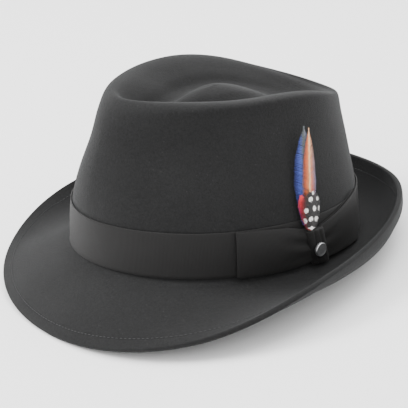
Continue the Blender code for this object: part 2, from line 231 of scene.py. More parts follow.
def grid_mesh(name, points, u, v, close_rows=False, close_columns=False, capped=False):
    """Mesh of a grid of points (rows, columns, 3). u runs along the rows and v round the columns, one value
    more than the points where the grid closes. Caps close the first and the last row, which are flat loops, with
    quads from one half of the loop to the other."""
    rows, columns = points.shape[:2]
    row_steps = rows if close_rows else rows - 1
    column_steps = columns if close_columns else columns - 1
    r, c = np.meshgrid(np.arange(row_steps), np.arange(column_steps), indexing="ij")
    up, on = (r + 1) % rows, (c + 1) % columns
    faces = np.stack([r * columns + c, r * columns + on, up * columns + on, up * columns + c], -1)
    uv = np.stack([
        np.stack([u[r], v[c]], -1),
        np.stack([u[r], v[c + 1]], -1),
        np.stack([u[r + 1], v[c + 1]], -1),
        np.stack([u[r + 1], v[c]], -1),
    ], -2)
    faces, uv = faces.reshape(-1, 4), uv.reshape(-1, 4, 2)
    flat = points.reshape(-1, 3)
    if capped:
        half = columns // 2
        k = np.arange(half - 1)
        for row, forward in ((0, False), (rows - 1, True)):
            near, far = row * columns + k, row * columns + columns - 1 - k
            cap = np.stack([near, near + 1, far - 1, far], -1)
            cap_uv = np.broadcast_to(np.array([u[row], v[0]]), (half - 1, 4, 2))
            faces = np.vstack([faces, cap if forward else cap[:, ::-1]])
            uv = np.vstack([uv, cap_uv])
    return raw_mesh(name, flat, faces, uv)


def table_at(table, level, mirrored=False, last_sign=None):
    """Rows of a table at fractional levels on a Catmull-Rom spline: between two rows, the cubic with their
    values and with slopes half the difference of the rows on either side. Past its ends the table runs straight
    on, or is mirrored, or repeats the last row but one with the given signs."""
    rows = np.array(table, dtype=float)
    if mirrored:
        rows = np.vstack([rows[1], rows, rows[-2]])
    else:
        beyond = 2 * rows[-1] - rows[-2] if last_sign is None else rows[-2] * last_sign
        rows = np.vstack([2 * rows[0] - rows[1], rows, beyond])
    level = np.atleast_1d(np.asarray(level, dtype=float))
    start = np.clip(level.astype(int), 0, len(table) - 2)
    u = (level - start)[..., None]
    before, first, second, after = (rows[start + k] for k in range(4))
    slope_first = (second - before) / 2
    slope_second = (after - first) / 2
    return (
        first * (2 * u**3 - 3 * u**2 + 1)
        + slope_first * (u**3 - 2 * u**2 + u)
        + second * (3 * u**2 - 2 * u**3)
        + slope_second * (u**3 - u**2)
    )


def oval(angle):
    """Point and outward direction of the opening: (a cos t, b sin t), with b its front or back half length."""
    depth = np.where(np.sin(angle) < 0, BASE_FRONT, BASE_BACK)
    point = np.stack([BASE_HALF_WIDTH * np.cos(angle), depth * np.sin(angle)], axis=-1)
    outward = np.stack([depth * np.cos(angle), BASE_HALF_WIDTH * np.sin(angle)], axis=-1)
    return point, outward / np.linalg.norm(outward, axis=-1, keepdims=True)


def crown_points(level, angle):
    """Outer surface of the crown. x = a cos t times the level's half width, narrowed at the front by
    pinch ((1 - sin t) / 2)^3; y = b sin t times its front or back; z mixes the side's rise with the front's or
    back's by sin^2 t. Two bells press the fingers' dents in."""
    level, angle = np.broadcast_arrays(level, angle)
    row = CrownRow(*np.moveaxis(table_at(CROWN, level, last_sign=OVER_TOP), -1, 0))
    side, along = np.cos(angle), np.sin(angle)
    narrow = 1 - row.pinch * ((1 - along) / 2) ** PINCH_POWER
    x = BASE_HALF_WIDTH * row.half_width * side * narrow
    y = np.where(along < 0, BASE_FRONT * row.front, BASE_BACK * row.back) * along
    rise = row.rise_side + (row.rise_front - row.rise_side) * np.clip(-along, 0, None) ** 2
    rise = rise + (row.rise_back - row.rise_side) * np.clip(along, 0, None) ** 2
    z = CROWN_HEIGHT * rise
    turn = (np.arctan2(y, np.abs(x)) + FINGER_ANGLE) / FINGER_SPREAD
    press = np.exp(-0.5 * turn ** 2 - 0.5 * ((z - PINCH_HEIGHT) / PINCH_SPREAD) ** 2)
    keep = 1 - PINCH_DEPTH * press / np.maximum(np.hypot(x, y), FELT_THICKNESS)
    return np.stack([x * keep, y * keep, z], axis=-1)


def level_at_height(height):
    """Level of the crown's side wall at a height above the opening."""
    levels = np.linspace(0, WALL_LEVELS, 161)
    rises = CrownRow(*np.moveaxis(table_at(CROWN, levels), -1, 0)).rise_side
    return np.interp(height, CROWN_HEIGHT * rises, levels)


def brim_row(angle):
    """The brim's slopes and width share at angles, alike on the left and the right."""
    quarter_turns = np.arcsin(np.clip(np.sin(angle), -1, 1)) / (math.pi / 4)
    return BrimRow(*table_at(BRIM, quarter_turns + 2, mirrored=True).T)


def brim_points(share, angle):
    """Upper surface of the brim at shares (rows) of its width and angles (columns): its slope turns evenly
    from slope_in to slope_out, and the place is the sum of the short strides along that slope."""
    row = brim_row(angle)
    steps = (np.arange(SLOPE_STEPS)[:, None] + 0.5) / SLOPE_STEPS
    slope = np.radians(row.slope_in + (row.slope_out - row.slope_in) * steps)
    stride = BRIM_WIDTH * row.width / SLOPE_STEPS
    start = np.zeros((1, len(angle)))
    reach = np.vstack([start, np.cumsum(stride * np.cos(slope), axis=0)])
    rise = np.vstack([start, np.cumsum(stride * np.sin(slope), axis=0)])
    place = np.clip(np.broadcast_to(share, (len(share), len(angle))), 0, 1) * SLOPE_STEPS
    low = np.clip(place.astype(int), 0, SLOPE_STEPS - 1)
    part = place - low
    reach = np.take_along_axis(reach, low, 0) * (1 - part) + np.take_along_axis(reach, low + 1, 0) * part
    rise = np.take_along_axis(rise, low, 0) * (1 - part) + np.take_along_axis(rise, low + 1, 0) * part
    point, outward = oval(angle)
    return np.concatenate([point + outward * reach[..., None], rise[..., None]], axis=-1)


def grid_normals(points):
    """Unit normals of a grid that closes round its columns: the cross product of the two differences."""
    around = np.roll(points, -1, axis=1) - np.roll(points, 1, axis=1)
    along = np.gradient(points, axis=0)
    normal = np.cross(around, along)
    return normal / np.maximum(np.linalg.norm(normal, axis=-1, keepdims=True), 1e-12)


def felt_outside():
    """Outer surface of the felt as a grid from the edge of the brim (first row) to the middle of the top, and
    for each point the distance from the edge along the brim. The corner between brim and crown is a
    quadratic curve: (1-t)^2 foot + 2t(1-t) corner + t^2 wall."""
    angle = np.arange(FELT_COLUMNS) * 2 * math.pi / FELT_COLUMNS
    width = BRIM_WIDTH * brim_row(angle).width
    t = np.linspace(0, 1, BRIM_RINGS)[:, None]
    share = 1 - t * (1 - BREAK_FILLET / width)
    brim = brim_points(share, angle)
    corner = brim_points(np.zeros((1, FELT_COLUMNS)), angle)
    wall = crown_points(np.full(FELT_COLUMNS, level_at_height(BREAK_FILLET)), angle)[None]
    t = np.linspace(0, 1, BREAK_RINGS + 2)[1:-1, None, None]
    fillet = (1 - t) ** 2 * brim[-1:] + 2 * t * (1 - t) * corner + t ** 2 * wall
    top_level = len(CROWN) - 1
    level = np.linspace(level_at_height(BREAK_FILLET), top_level - 0.12, CROWN_RINGS)
    crown = crown_points(level[:, None], angle[None])
    inward = np.full((BREAK_RINGS + CROWN_RINGS, FELT_COLUMNS), BRIM_WIDTH)
    from_edge = np.vstack([(1 - share) * width, inward])
    return np.concatenate([brim, fillet, crown]), from_edge


def felt_waves(points):
    """Hand-blocked unevenness: a sum of three slow sines of the place, at most about half a millimetre."""
    x, y, z = np.moveaxis(points, -1, 0)
    return FELT_WAVES * (np.sin(61 * x + 47 * z) + np.sin(53 * y - 71 * z + 1.3) + 0.6 * np.sin(90 * x - 80 * y))


def build_felt(material):
    """Crown and brim as one closed shell: the outer surface, a half-round edge, the inner surface behind it by
    the wall's thickness, and a point at the middle of the top on both sides."""
    outside, from_edge = felt_outside()
    normal = grid_normals(outside)
    waves = felt_waves(outside) * smooth_step(0.0, 0.02, from_edge)
    under_band = bump(outside[..., 2], BAND_RISE + RIBBON_WIDTH / 2, RIBBON_WIDTH * 0.9)
    waves = waves * (1 - under_band * (from_edge > BRIM_WIDTH * 0.9))
    seam = -SEAM_DEPTH * bump(from_edge, WELT_WIDTH + WELT_STEP / 2, SEAM_WIDTH)
    outside = outside + normal * (waves + seam)[..., None]
    normal = grid_normals(outside)
    thick = WELT_THICKNESS + (FELT_THICKNESS - WELT_THICKNESS) * smooth_step(
        WELT_WIDTH, WELT_WIDTH + WELT_STEP, from_edge)
    inside = outside - normal * thick[..., None]
    turn = np.linspace(0, math.pi, EDGE_RINGS + 2)[1:-1, None, None]
    middle = (outside[:1] + inside[:1]) / 2
    half = (outside[:1] - inside[:1]) / 2
    away = outside[:1] - outside[1:2]
    away = away / np.linalg.norm(away, axis=-1, keepdims=True)
    radius = np.linalg.norm(half, axis=-1, keepdims=True)
    edge = middle + half * np.cos(turn) + away * radius * 0.55 * np.sin(turn)
    grid = np.concatenate([outside[::-1], edge, inside])
    summit = crown_points(np.array([len(CROWN) - 1.0]), np.zeros(1))[0]
    poles = np.stack([summit, summit - (outside[-1] - inside[-1]).mean(0)])
    rows = len(grid)
    flat = np.vstack([grid.reshape(-1, 3), poles])
    r, c = np.meshgrid(np.arange(rows - 1), np.arange(FELT_COLUMNS), indexing="ij")
    on = (c + 1) % FELT_COLUMNS
    here, below = r * FELT_COLUMNS, (r + 1) * FELT_COLUMNS
    quads = np.stack([here + c, below + c, below + on, here + on], -1).reshape(-1, 4)
    ring = np.arange(0, FELT_COLUMNS, 2)
    last = (rows - 1) * FELT_COLUMNS
    pole = rows * FELT_COLUMNS
    top = np.stack([ring, ring + 1, (ring + 2) % FELT_COLUMNS, 0 * ring + pole], -1)
    under = np.stack([last + (ring + 2) % FELT_COLUMNS, last + ring + 1, last + ring, 0 * ring + pole + 1], -1)
    mesh = raw_mesh("felt", placed(flat), np.vstack([quads, top, under]))
    piece = make_object("felt", mesh, material)
    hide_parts("felt_body")
    return piece


def capsule(sides, rings):
    """Points and faces of a small rounded rod along X, 1 long and 2 across: a grid of circles whose radius is
    the square root of 1 - s^6, with s from -1 to 1."""
    s = np.linspace(-1, 1, rings)
    radius = np.sqrt(np.clip(1 - s ** 6, 0.02, 1))
    turn = np.arange(sides) * 2 * math.pi / sides
    ring = np.stack([np.zeros(sides), np.cos(turn), np.sin(turn)], -1)
    points = ring[None] * radius[:, None, None]
    points[..., 0] = (s / 2)[:, None]
    r, c = np.meshgrid(np.arange(rings - 1), np.arange(sides), indexing="ij")
    on = (c + 1) % sides
    faces = np.stack([r * sides + c, r * sides + on, (r + 1) * sides + on, (r + 1) * sides + c], -1)
    ends = [np.arange(4), (rings - 1) * sides + np.arange(4)]
    caps = np.stack([ends[0][::-1], ends[1]])
    return points.reshape(-1, 3), np.vstack([faces.reshape(-1, 4), caps])


def stitch_mesh(name, place, forward, upward, length, radius):
    """One capsule for each stitch, laid along its forward direction, half sunk where it goes in."""
    shape, faces = capsule(4, 5)
    sideways = np.cross(upward, forward)
    axes = np.stack([forward * length, sideways * radius, upward * radius], axis=1)
    points = np.einsum("vk,nkd->nvd", shape, axes) + place[:, None]
    count = len(place)
    faces = faces[None] + (np.arange(count) * len(shape))[:, None, None]
    return raw_mesh(name, placed(points.reshape(-1, 3)), faces.reshape(-1, 4))


def build_welt_stitches(material):
    """Running stitch round the brim, just inside the welt, on the upper and the lower side: places at even
    distances along the line, found by walking its length."""
    outside, from_edge = felt_outside()
    normal = grid_normals(outside)
    line = WELT_WIDTH + WELT_STEP / 2
    row = np.argmin(np.abs(from_edge - line), axis=0)
    column = np.arange(FELT_COLUMNS)
    ring, ring_normal = outside[row, column], normal[row, column]
    closed = np.vstack([ring, ring[:1]])
    closed_normal = np.vstack([ring_normal, ring_normal[:1]])
    travelled = np.concatenate([[0], np.cumsum(np.linalg.norm(np.diff(closed, axis=0), axis=1))])
    count = int(travelled[-1] / STITCH_PITCH)
    at = np.arange(count) * travelled[-1] / count

    def along(values, distance):
        distance = distance % travelled[-1]
        return np.stack([np.interp(distance, travelled, values[:, k]) for k in range(3)], -1)

    place = along(closed, at)
    forward = along(closed, at + STITCH_PITCH / 2) - along(closed, at - STITCH_PITCH / 2)
    forward /= np.linalg.norm(forward, axis=1, keepdims=True)
    upward = along(closed_normal, at)
    upward -= forward * np.sum(upward * forward, axis=1, keepdims=True)
    upward /= np.linalg.norm(upward, axis=1, keepdims=True)
    lines = (("welt_stitches_top", STITCH_LIFT_TOP, 1.0), ("welt_stitches_under", STITCH_LIFT_UNDER, -1.0))
    for name, depth, side in lines:
        mesh = stitch_mesh(name, place + upward * depth, forward * side, upward * side,
                           STITCH_LENGTH, STITCH_RADIUS)
        piece = make_object(name, mesh, material)


def angle_at(along):
    """Angle on the oval at a distance along it, measured from the left side towards the back."""
    angles = np.linspace(-math.pi / 2, math.pi / 2, 1441)
    points, _ = oval(angles)
    travelled = np.concatenate([[0], np.cumsum(np.linalg.norm(np.diff(points, axis=0), axis=1))])
    travelled -= np.interp(0.0, angles, travelled)
    return np.interp(along, travelled, angles)


def on_crown(along, height, lift):
    """Points on the crown's wall: distance along the ribbon, height over the opening, distance off the felt."""
    along, height, lift = np.broadcast_arrays(along, height, lift)
    angle = angle_at(along)
    _, outward = oval(angle)
    points = crown_points(level_at_height(height), angle)
    points[..., :2] += outward * lift[..., None]
    return points


def knot_middle(height):
    """Distance along the ribbon to the slanted middle of the knot at a height."""
    centre = BAND_RISE - KNOT_DROP + KNOT_HEIGHT / 2
    return BOW_PLACE - KNOT_SLANT * (height - centre) / KNOT_HEIGHT


def ribbon_section(across, edge):
    """Section of a ribbon as a closed loop: place across from 0 to 1 and back, and side from 1 (front) to 0
    (back), with half-round selvedges edge points long."""
    front = np.linspace(0, 1, across)
    turn = np.linspace(0, math.pi, edge + 2)[1:-1]
    place = np.concatenate([front, 1 + 0 * turn, front[::-1], 0 * turn])
    bulge = np.concatenate([0 * front, np.sin(turn), 0 * front, -np.sin(turn)])
    side = np.concatenate([1 + 0 * front, (1 + np.cos(turn)) / 2, 0 * front, (1 - np.cos(turn)) / 2])
    return place, bulge, side


def build_band(material):
    """Ribbon round the foot of the crown: the section is carried round the oval on the crown's wall. It lies a
    little loose at its upper edge, and its two selvedges are slightly thicker."""
    place, bulge, side = ribbon_section(14, 3)
    angle = np.arange(BAND_COLUMNS) * 2 * math.pi / BAND_COLUMNS
    ease = 0.00012 * np.sin(7 * angle) + 0.00008 * np.sin(17 * angle + 1.0)
    height = BAND_RISE + RIBBON_WIDTH * place[None] + SELVEDGE * bulge[None] + 0 * angle[:, None]
    points = crown_points(level_at_height(height), angle[:, None])
    _, outward = oval(angle)
    thick = BAND_THICKNESS * (0.62 + 0.25 * (bump(place, 0.0, 0.05) + bump(place, 1.0, 0.05)))
    lift = GAP + side * thick + np.zeros_like(height)
    lift = lift + (ease[:, None] + 0.00015) * place[None] ** 4
    points[..., :2] += outward[:, None] * lift[..., None]
    ring = np.linalg.norm(np.diff(np.vstack([points[:, 0], points[:1, 0]]), axis=0), axis=1)
    u = np.concatenate([[0], np.cumsum(ring)])
    v = np.concatenate([place, place[:1]]) * RIBBON_WIDTH
    mesh = grid_mesh("hat_band_ribbon", placed(points), u, v, close_rows=True, close_columns=True)
    piece = make_object("hat_band_ribbon", mesh, material)
    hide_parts("hat_band")
    return piece


def loop_folds(share, place):
    """Pinch folds of a bow's half: three creases that fan out from the knot and fade towards the end."""
    fade = (1 - smooth_step(0.0, 0.55, share)) * np.sin(math.pi * np.clip(place, 0, 1))
    creases = np.cos(2 * math.pi * (place * (2.4 - 1.1 * share) + 0.15))
    return fade * creases


def build_loop(name, node, table, length, direction, material):
    """Half of the bow: ribbon that leaves the knot, folds back at the end and returns underneath. The path
    is the front layer out, a half-round fold and the back layer home, and the section is the ribbon's."""
    rows = np.array(table)
    radius = LOOP_THICKNESS * 0.32
    ply = LOOP_THICKNESS * 0.26
    out = np.linspace(0, 1, LOOP_COLUMNS)
    turn = np.linspace(0, math.pi, 12)[1:-1]
    share = np.concatenate([out, 1 + radius / length * np.sin(turn), out[::-1]])
    layer = np.concatenate([0 * out + 1, np.cos(turn), 0 * out - 1])
    place, bulge, side = ribbon_section(26, 3)
    low = BAND_RISE + RIBBON_WIDTH * np.interp(share, rows[:, 0], rows[:, 1])
    high = BAND_RISE + RIBBON_WIDTH * np.interp(share, rows[:, 0], rows[:, 2])
    low, high, share, layer = (item[:, None] for item in (low, high, share, layer))
    place, bulge, side = place[None], bulge[None], side[None]
    height = low + (high - low) * place + SELVEDGE * bulge
    root = knot_middle(height) + direction * (KNOT_WIDTH / 2 - 0.0015)
    end = BOW_PLACE + direction * (KNOT_WIDTH / 2 + GAP + length)
    along = root + (end - root) * share
    middle = BAND_THICKNESS + 2 * GAP + LOOP_THICKNESS / 2
    puff = 0.0007 * np.sin(math.pi * np.clip(share, 0, 1)) ** 0.7 * np.sin(math.pi * np.clip(place, 0, 1)) ** 0.5
    front = np.clip(layer, 0, 1)
    wave = 0.0006 * loop_folds(share, place) * front
    lift = middle + layer * radius + (side - 0.5) * ply * np.sign(layer + 1e-9) + (puff * front + wave)
    points = on_crown(along, height, lift)
    step = np.linalg.norm(np.diff(points[:, 5], axis=0), axis=1)
    u = np.concatenate([[0], np.cumsum(step)])
    v = np.concatenate([place[0], place[0, :1]]) * RIBBON_WIDTH
    if direction > 0:
        points, v = points[:, ::-1], v[::-1]
    mesh = grid_mesh(name, placed(points), u, v, close_columns=True, capped=True)
    piece = make_object(name, mesh, material)
    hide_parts(node)
    return piece


def build_knot(material):
    """Ribbon folded over the middle of the bow: a section that runs from the felt over the top fold, down the
    front and under the lower edge, carried across the knot's width with rounded sides."""
    rise = np.linspace(0, 1, 40)
    turn = np.linspace(0, math.pi, 12)[1:-1]
    low = BAND_RISE - KNOT_DROP
    depth = KNOT_THICKNESS
    front_height = low + KNOT_HEIGHT * (0.03 + 0.94 * rise)
    fold = KNOT_HEIGHT * 0.03
    height = np.concatenate([
        front_height,
        front_height[-1] + fold * np.sin(turn),
        front_height[::-1],
        front_height[0] - fold * np.sin(turn),
    ])
    side = np.concatenate([1 + 0 * rise, (1 + np.cos(turn)) / 2, 0 * rise, (1 - np.cos(turn)) / 2])
    across = np.linspace(-1, 1, 37)
    rounding = 1 - 0.30 * np.abs(across) ** 6
    height, side = height[None], side[None]
    across, rounding = across[:, None], rounding[:, None]
    share = (height - low) / KNOT_HEIGHT
    taper = 1 - 0.10 * (1 - share) ** 2
    along = knot_middle(height) + across * (KNOT_WIDTH / 2) * taper
    crease = 0.00035 * (bump(across, -0.45 + 0.25 * share, 0.10) + 0.7 * bump(across, 0.5 - 0.15 * share, 0.12))
    lift = BAND_THICKNESS + 2 * GAP + depth * side * rounding - crease * side
    lift = lift - 0.0012 * side * (1 - share) * smooth_step(-1, 1, -across)
    points = on_crown(along, height, lift)
    step = np.linalg.norm(np.diff(points[18], axis=0), axis=1)
    v = np.concatenate([[0], np.cumsum(step), [step.sum() + step[-1]]])
    u = np.linspace(0, KNOT_WIDTH, len(across))
    mesh = grid_mesh("bow_knot_ribbon", placed(points), u, v, close_columns=True, capped=True)
    piece = make_object("bow_knot_ribbon", mesh, material)
    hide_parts("bow_knot")
    return piece


def frame_on_crown(along, height, lift):
    """Place and the sideways and outward directions at a point off the crown's wall."""
    angle = angle_at(along)
    _, outward = oval(angle)
    outward = np.array([outward[0], outward[1], 0.0])
    sideways = np.array([-outward[1], outward[0], 0.0])
    return on_crown(along, height, lift), sideways, outward


def build_pin(material):
    """Round metal button: a profile of radius and height turned about its axis, with a thin raised rim."""
    radius = PIN_DIAMETER / 2
    thick = PIN_THICKNESS
    out = np.array([0.02, 0.3, 0.6, 0.74, 0.78, 0.82, 0.88, 0.93, 0.965, 0.99, 1.0, 1.0, 0.98, 0.93, 0.5, 0.02])
    rise = np.array([.93, .93, .925, .92, .925, .965, 1.0, 0.99, 0.95, 0.87, 0.75, 0.25, 0.1, 0.02, 0.0, 0.0])
    turn = np.arange(PIN_SIDES) * 2 * math.pi / PIN_SIDES
    place, sideways, outward = frame_on_crown(
        knot_middle(PIN_HEIGHT) + PIN_PLACE, PIN_HEIGHT, BAND_THICKNESS + 3 * GAP + KNOT_THICKNESS)
    upward = np.cross(outward, sideways)
    circle = np.cos(turn)[:, None] * sideways + np.sin(turn)[:, None] * upward
    points = place + circle[None] * (radius * out)[:, None, None] + outward * (thick * rise)[:, None, None]
    v = np.linspace(0, 1, PIN_SIDES + 1)
    u = out * radius
    mesh = grid_mesh("pin_button", placed(points[:, ::-1]), u, v, close_columns=True, capped=True)
    piece = make_object("pin_button", mesh, material)
    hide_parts("pin")
    return piece


Vane = namedtuple("Vane", "length half_width aside turn layer outline barbs slot")
LONG_LEAF = ((0.00, 0.30), (0.20, 0.72), (0.45, 1.00), (0.70, 0.82), (0.88, 0.46), (1.00, 0.08))
SHORT_LEAF = ((0.00, 0.45), (0.35, 0.95), (0.70, 1.00), (0.90, 0.66), (1.00, 0.30))
# Lengths are shares of the longest feather's, half widths and places aside shares of the widest half width
VANES = {
    "feather_blue": Vane(1.000, 1.000, 0.000, -1.0, 0, LONG_LEAF, 170, "feather_blue"),
    "feather_orange": Vane(0.979, 0.653, 0.184, 0.5, 1, LONG_LEAF, 170, "feather_orange"),
    "feather_red_tuft": Vane(0.355, 0.429, -0.265, -10.0, 2, SHORT_LEAF, 60, "feather_red"),
    "feather_spotted": Vane(0.369, 0.878, 0.082, 0.0, 3, SHORT_LEAF, 90, "feather_spotted"),
}

def feather_places(vane, upright, across, height_off):
    """Turn flat feather coordinates (up the quill, across it, off its face) into the hat's frame: the leaf is
    turned in its plane, cupped by across^2 / (2 cup), leaned in to the crown and stood on the knot."""
    foot_height = BAND_RISE - KNOT_DROP + KNOT_HEIGHT + GAP
    lift = FEATHER_STANDOFF + vane.layer * FEATHER_LAYER
    place, sideways, outward = frame_on_crown(knot_middle(foot_height) + FEATHER_PLACE, foot_height, lift)
    leaned = np.array([0.0, 0.0, 1.0]) * math.cos(FEATHER_LEAN) - outward * math.sin(FEATHER_LEAN)
    facing = np.cross(sideways, leaned)
    turn = FEATHER_SWAY + math.radians(vane.turn)
    share = upright / (FEATHER_LENGTH * vane.length)
    aside = FEATHER_HALF_WIDTH * vane.aside * np.sqrt(np.clip(share, 0, 1)) + across * math.cos(turn) + upright * math.sin(turn)
    raised = upright * math.cos(turn) - across * math.sin(turn)
    sunk = height_off - (aside - raised * math.sin(FEATHER_SWAY)) ** 2 / (2 * FEATHER_CUP)
    return place + aside[..., None] * sideways + raised[..., None] * leaned + sunk[..., None] * facing


def build_feather(name, material, seed):
    """Quill and barbs. Each barb is a flat strip that leaves the quill and sweeps up towards the tip: its place
    up the quill grows by the slope times its distance out. A barb's length follows the leaf's outline."""
    vane = VANES[name]
    draw = np.random.default_rng(seed)
    outline = np.array(vane.outline)
    count = vane.barbs
    length = FEATHER_LENGTH * vane.length
    widest = FEATHER_HALF_WIDTH * vane.half_width
    root = np.linspace(0.03, 0.97, count)
    root = root[:, None] + draw.normal(0, 0.0015, (count, 2))
    reach = np.interp(root + 0.06, outline[:, 0], outline[:, 1]) * widest
    reach = reach * (1 + draw.normal(0, 0.02, reach.shape))
    t = np.linspace(0, 1, BARB_POINTS)
    pitch = length * 0.94 / count
    strips, uvs = [], []
    for column, direction in ((0, -1.0), (1, 1.0)):
        out = reach[:, column, None] * t
        up = length * root[:, column, None] + BARB_SLOPE * out * (1 - 0.25 * t)
        up = np.minimum(up, length)
        half = pitch * 0.62 * np.clip(1.15 - t, 0.15, 1)
        jitter = draw.normal(0, 0.00006, (count, 1))
        for edge in (-1.0, 1.0):
            u = up + edge * half
            strips.append(feather_places(vane, u, direction * out, 0.0005 + jitter + 0 * u))
            uvs.append(np.stack([u / length, 0.5 + 0.5 * direction * out / widest], -1))
    flat, faces, uv = [], [], []
    offset = 0
    for low, high, uv_low, uv_high, direction in (
            (strips[0], strips[1], uvs[0], uvs[1], -1), (strips[2], strips[3], uvs[2], uvs[3], 1)):
        pair = np.stack([low, high], axis=2)
        pair_uv = np.stack([uv_low, uv_high], axis=2)
        k, p = np.meshgrid(np.arange(count), np.arange(BARB_POINTS - 1), indexing="ij")
        base = offset + (k * BARB_POINTS + p) * 2
        quad = np.stack([base, base + 2, base + 3, base + 1], -1)
        corner = np.stack([pair_uv[k, p, 0], pair_uv[k, p + 1, 0], pair_uv[k, p + 1, 1], pair_uv[k, p, 1]], -2)
        if direction < 0:
            quad, corner = quad[..., ::-1], corner[..., ::-1, :]
        flat.append(pair.reshape(-1, 3))
        faces.append(quad.reshape(-1, 4))
        uv.append(corner.reshape(-1, 4, 2))
        offset += pair.reshape(-1, 3).shape[0]
    s = np.linspace(0, 0.97, 40)
    turn = np.arange(QUILL_SIDES) * 2 * math.pi / QUILL_SIDES
    thick = QUILL_RADIUS * (1 - 0.85 * s)
    quill = feather_places(vane, (s * length)[:, None] + 0 * turn, thick[:, None] * np.cos(turn),
                           0.0006 + thick[:, None] * np.sin(turn))
    r, c = np.meshgrid(np.arange(len(s) - 1), np.arange(QUILL_SIDES), indexing="ij")
    on = (c + 1) % QUILL_SIDES
    here, above = offset + r * QUILL_SIDES, offset + (r + 1) * QUILL_SIDES
    quad = np.stack([here + c, here + on, above + on, above + c], -1).reshape(-1, 4)
    flat.append(quill.reshape(-1, 3))
    faces.append(quad)
    quill_uv = np.stack([s[r], 0.5 + 0 * r], -1)
    uv.append(np.repeat(quill_uv.reshape(-1, 1, 2), 4, axis=1))
    mesh = raw_mesh(name + "_vane", placed(np.vstack(flat)), np.vstack(faces), np.vstack(uv))
    piece = make_object(name + "_vane", mesh, material)
    wall = piece.modifiers.new("wall", "SOLIDIFY")
    wall.thickness = BARB_WALL
    wall.offset = 0
    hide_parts(name)
    return piece


def new_group(name, inputs, outputs):
    """An empty shader group with named float inputs (name: default) and outputs (name: socket type)."""
    group = bpy.data.node_groups.new(name, "ShaderNodeTree")
    for key, value in inputs.items():
        kind = "NodeSocketVector" if value is None else "NodeSocketFloat"
        socket = group.interface.new_socket(key, in_out="INPUT", socket_type=kind)
        if value is not None:
            socket.default_value = value
    for key in outputs:
        group.interface.new_socket(key, in_out="OUTPUT", socket_type="NodeSocketFloat")
    return group, group.nodes.new("NodeGroupInput"), group.nodes.new("NodeGroupOutput")


def math_node(tree, operation, first, second=None, clamp=False):
    """A Math node fed by sockets or numbers; gives its output socket."""
    node = tree.nodes.new("ShaderNodeMath")
    node.operation = operation
    node.use_clamp = clamp
    for socket, value in zip(node.inputs, (first, second)):
        if isinstance(value, bpy.types.NodeSocket):
            tree.links.new(value, socket)
        elif value is not None:
            socket.default_value = value
    return node.outputs[0]


def noise_node(tree, vector, scale, detail=2.0, roughness=0.5):
    """Noise from a vector socket; scale may be a socket or a number."""
    node = tree.nodes.new("ShaderNodeTexNoise")
    tree.links.new(vector, node.inputs["Vector"])
    if isinstance(scale, bpy.types.NodeSocket):
        tree.links.new(scale, node.inputs["Scale"])
    else:
        node.inputs["Scale"].default_value = scale
    node.inputs["Detail"].default_value = detail
    node.inputs["Roughness"].default_value = roughness
    return node.outputs["Fac"]


def weighted(tree, first, first_share, second, second_share):
    """Weighted sum of two values."""
    one = math_node(tree, "MULTIPLY", first, first_share)
    other = math_node(tree, "MULTIPLY", second, second_share)
    return math_node(tree, "ADD", one, other)


def felt_nap_group():
    """Matted fibres: fine noise, coarser clumps and a slow cloud, as a height and a tone."""
    group, source, target = new_group(
        "felt_nap", {"Vector": None, "Fibre Scale": 1300.0, "Clump Scale": 620.0, "Cloud Scale": 24.0},
        ("Height", "Tone", "Cloud"))
    fine = noise_node(group, source.outputs["Vector"], source.outputs["Fibre Scale"], 3.0, 0.65)
    clump = noise_node(group, source.outputs["Vector"], source.outputs["Clump Scale"], 2.0, 0.6)
    cloud = noise_node(group, source.outputs["Vector"], source.outputs["Cloud Scale"], 2.0, 0.5)
    mixed = weighted(group, fine, 0.6, clump, 0.4)
    group.links.new(mixed, target.inputs["Height"])
    tone = weighted(group, mixed, 0.85, cloud, 0.15)
    group.links.new(tone, target.inputs["Tone"])
    group.links.new(cloud, target.inputs["Cloud"])
    return group


def lint_group():
    """Sparse pale specks of lint: the small middles of far-apart cells, thinned out by noise."""
    group, source, target = new_group("lint", {"Vector": None, "Scale": 260.0, "Size": 0.13}, ("Mask",))
    cells = group.nodes.new("ShaderNodeTexVoronoi")
    group.links.new(source.outputs["Vector"], cells.inputs["Vector"])
    group.links.new(source.outputs["Scale"], cells.inputs["Scale"])
    near = math_node(group, "LESS_THAN", cells.outputs["Distance"], source.outputs["Size"])
    parts = group.nodes.new("ShaderNodeSeparateColor")
    group.links.new(cells.outputs["Color"], parts.inputs["Color"])
    chosen = math_node(group, "GREATER_THAN", parts.outputs[0], 0.80)
    group.links.new(math_node(group, "MULTIPLY", near, chosen), target.inputs["Mask"])
    return group


def ribs_group():
    """Grosgrain ribs across the ribbon, from the distance along it, broken a little by the threads' noise."""
    group, source, target = new_group("ribs", {"Vector": None, "Pitch": RIB_PITCH}, ("Height", "Thread"))
    parts = group.nodes.new("ShaderNodeSeparateXYZ")
    group.links.new(source.outputs["Vector"], parts.inputs[0])
    turns = math_node(group, "DIVIDE", parts.outputs["X"], source.outputs["Pitch"])
    wave = math_node(group, "SINE", math_node(group, "MULTIPLY", turns, 2 * math.pi))
    rib = math_node(group, "MULTIPLY_ADD", wave, 0.5)
    rib.node.inputs[2].default_value = 0.5
    thread = noise_node(group, source.outputs["Vector"], 2600.0, 2.0, 0.6)
    height = weighted(group, rib, 0.75, thread, 0.25)
    group.links.new(height, target.inputs["Height"])
    group.links.new(thread, target.inputs["Thread"])
    return group


def start_material(name, roughness, metallic=0.0):
    """A material with its Principled shader, and its node tree."""
    material = bpy.data.materials.new(name)
    material.use_nodes = True
    shader = material.node_tree.nodes["Principled BSDF"]
    shader.inputs["Roughness"].default_value = roughness
    shader.inputs["Metallic"].default_value = metallic
    return material, material.node_tree, shader


def object_place(tree):
    """Object coordinates, in metres."""
    return tree.nodes.new("ShaderNodeTexCoord").outputs["Object"]


